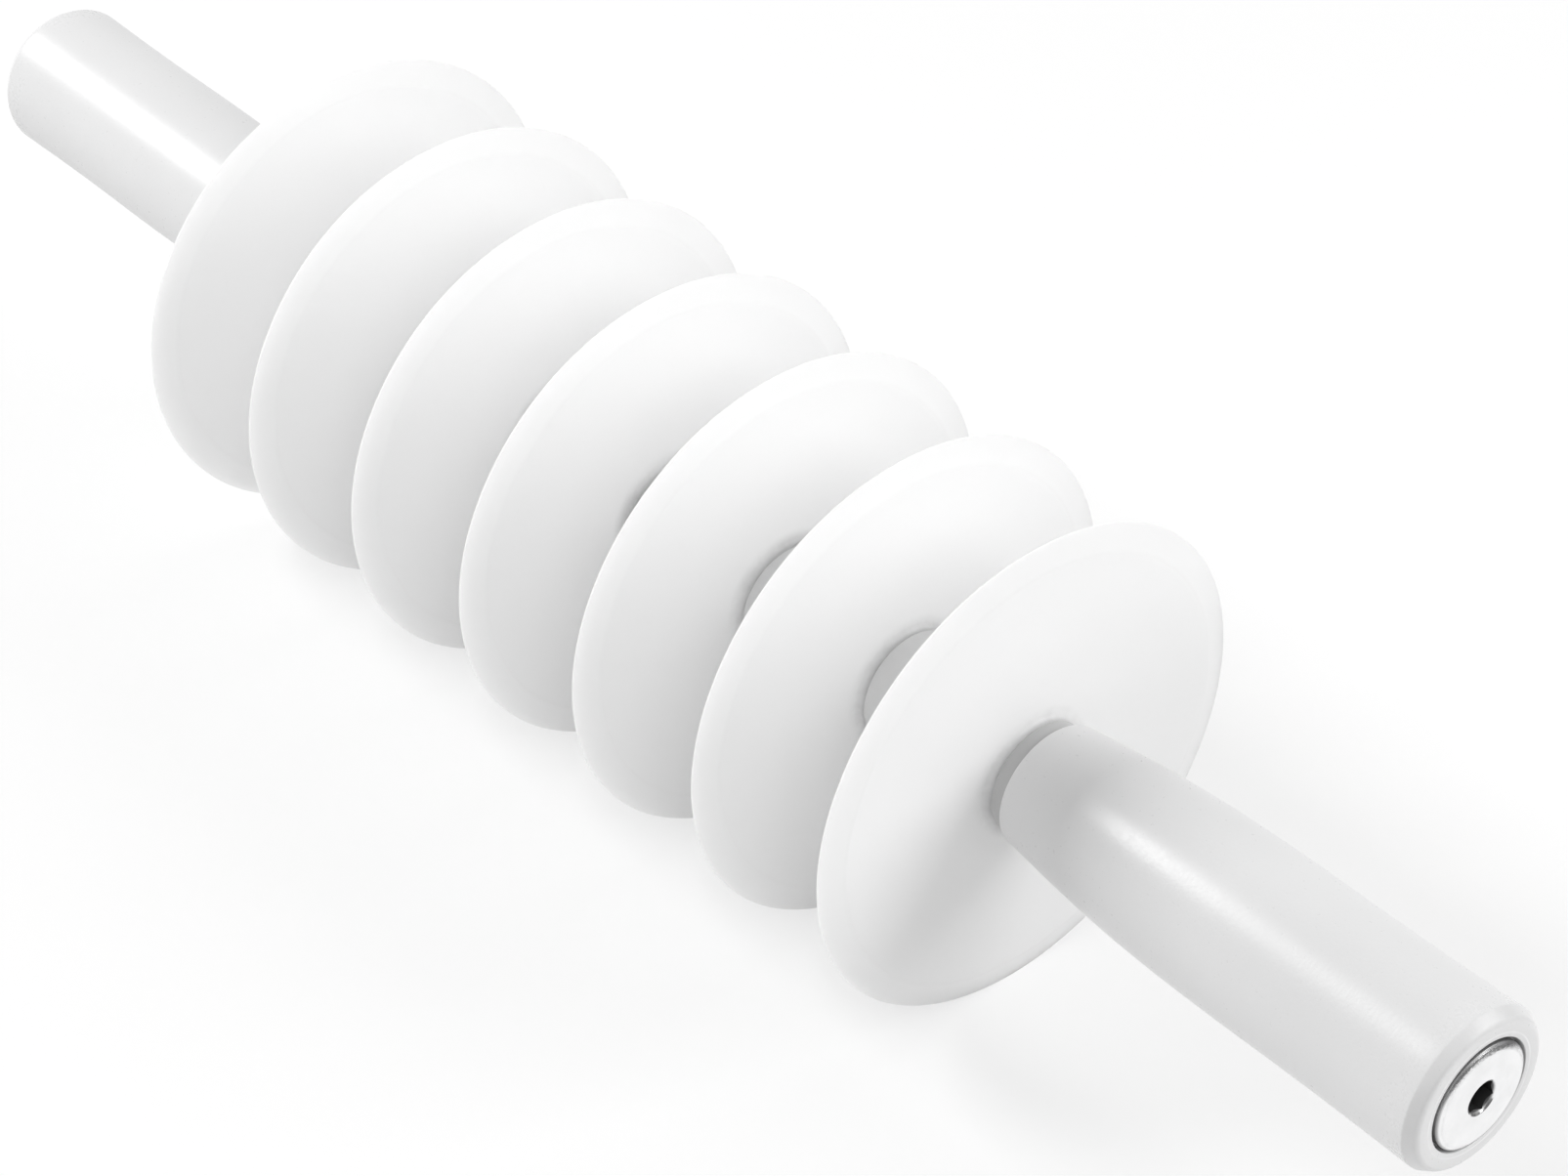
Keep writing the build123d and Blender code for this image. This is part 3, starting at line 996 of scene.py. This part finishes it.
class CUTTER_OT_stage(bpy.types.Operator):
    """Set the pale floor, the soft lamps and the camera"""
    bl_idname = "cutter.stage"
    bl_label = "Stage"
    bl_options = {"REGISTER", "UNDO"}

    def execute(self, context):
        studio = context.scene.cutter.studio
        deselect_all()
        bpy.ops.mesh.primitive_plane_add(size=studio.floor_size, location=(0, 0, cad_box[0].z))
        floor = name_piece("studio_floor")
        floor.data.materials.append(self.make_floor_finish(studio))

        world = bpy.data.worlds.new("Studio surround")
        context.scene.world = world
        world.use_nodes = True
        tree = world.node_tree
        background = tree.nodes["Background"]
        background.inputs["Color"].default_value = (1, 1, 1, 1)
        seen = add_math(tree, "MAXIMUM", *self.add_seen_tests(tree))
        strength = add_range(tree, seen, 0, 1, studio.ambient, 1.0)
        tree.links.new(strength, background.inputs["Strength"])
        arrange(tree)

        for name, place, width, height, power in LAMPS:
            add_lamp(name, place, width, height, getattr(studio, power))

        cloth = self.make_matte("Flag cloth", studio.flag_colour, deep=0.5, clouds=40.0)[0]
        for flag in FLAGS:
            self.add_flag(*flag, cloth)

        turn = (CAMERA_AIM - CAMERA_PLACE).to_track_quat("-Z", "Y").to_euler()
        bpy.ops.object.camera_add(location=CAMERA_PLACE, rotation=turn)
        camera = name_piece("studio_camera")
        camera.data.lens, camera.data.sensor_width = studio.focal_length, CAMERA_SENSOR
        camera.data.clip_start, camera.data.clip_end = CAMERA_REACH
        context.scene.camera = camera
        context.scene.view_settings.view_transform = "Standard"
        return {"FINISHED"}

    def add_flag(self, name, start, end, base, top, material):
        """A low grey board near the right end that shows only in mirror-like reflections."""
        flag = draw_outline(name, [(start[0], base), (start[0], top)])
        bpy.ops.mesh.select_all(action="SELECT")
        bpy.ops.transform.translate(value=(0, start[1], 0))
        step = (end[0] - start[0], end[1] - start[1], 0)
        bpy.ops.mesh.extrude_edges_move(TRANSFORM_OT_translate={"value": step})
        bpy.ops.object.mode_set(mode="OBJECT")
        flag.data.materials.append(material)
        flag.visible_camera = flag.visible_diffuse = flag.visible_shadow = False
        flag.visible_transmission = flag.visible_volume_scatter = False

    def add_seen_tests(self, tree):
        """Two tests of a ray: if it comes from the camera, and if from a shiny or clear surface."""
        rays = add_node(tree, "ShaderNodeLightPath").outputs
        mirrored = add_math(tree, "MAXIMUM", rays["Is Glossy Ray"], rays["Is Transmission Ray"])
        return rays["Is Camera Ray"], mirrored

    def make_matte(self, name, colour, deep, clouds):
        """Matte paper or cloth in clouds of two near tones. Returns it with its tree and shader."""
        material, tree, shader, place = new_material(name, Roughness=0.9)
        tree.links.new(add_tone(tree, place, colour, deep, clouds), shader.inputs["Base Color"])
        arrange(tree)
        return material, tree, shader

    def make_floor_finish(self, studio):
        """A pale matte floor that keeps the shadow and otherwise shows white to the camera."""
        material, tree, shader = self.make_matte("Floor paper", studio.floor_colour,
                                                 deep=0.995, clouds=2.0)
        shade_tone, glow_strength = 0.45, 0.56
        shade = add_node(tree, "ShaderNodeBsdfDiffuse", {"Color": toned((1, 1, 1), shade_tone)})
        glow = add_node(tree, "ShaderNodeEmission", {"Strength": glow_strength})
        white = add_node(tree, "ShaderNodeEmission", {"Strength": 1.0})
        shown = add_node(tree, "ShaderNodeAddShader")
        tree.links.new(shade.outputs[0], shown.inputs[0])
        tree.links.new(glow.outputs[0], shown.inputs[1])
        surface = shader.outputs[0]
        for test, look in zip(self.add_seen_tests(tree), (shown, white)):
            choice = add_node(tree, "ShaderNodeMixShader")
            for value, socket in zip((test, surface, look.outputs[0]), choice.inputs):
                tree.links.new(value, socket)
            surface = choice.outputs[0]
        tree.links.new(surface, tree.nodes["Material Output"].inputs["Surface"])
        arrange(tree)
        return material


class CUTTER_PT_sidebar(bpy.types.Panel):
    """The pasta cutter's sizes, colours and making steps"""
    bl_idname = "CUTTER_PT_sidebar"
    bl_label = "Pasta Cutter"
    bl_space_type = "VIEW_3D"
    bl_region_type = "UI"
    bl_category = "Pasta Cutter"

    def draw(self, context):
        cutter = context.scene.cutter
        for operators, settings in ((("cutter.blades",), cutter.blade),
                                    (("cutter.rings", "cutter.washers"), cutter.ring),
                                    (("cutter.handles",), cutter.handle),
                                    (("cutter.screws",), cutter.screw),
                                    (("cutter.steel",), cutter.steel),
                                    (("cutter.stage",), cutter.studio)):
            box = self.layout.box()
            for operator in operators:
                box.operator(operator)
            for key in settings.bl_rna.properties.keys():
                if key not in ("rna_type", "name"):
                    box.prop(settings, key)


classes = (
    BladeSettings, RingSettings, HandleSettings, ScrewSettings, SteelSettings, StudioSettings,
    CutterSettings,
    CUTTER_OT_blades, CUTTER_OT_rings, CUTTER_OT_washers, CUTTER_OT_handles, CUTTER_OT_screws,
    CUTTER_OT_steel, CUTTER_OT_stage, CUTTER_PT_sidebar,
)


def register():
    for each in classes:
        bpy.utils.register_class(each)
    bpy.types.Scene.cutter = PointerProperty(name="Pasta cutter", type=CutterSettings)


def unregister():
    del bpy.types.Scene.cutter
    for each in reversed(classes):
        bpy.utils.unregister_class(each)


def main():
    register()
    bpy.ops.cutter.blades()
    bpy.ops.cutter.rings()
    bpy.ops.cutter.washers()
    bpy.ops.cutter.handles()
    bpy.ops.cutter.screws()
    bpy.ops.cutter.steel()
    bpy.ops.cutter.stage()


if __name__ == "__main__":
    main()
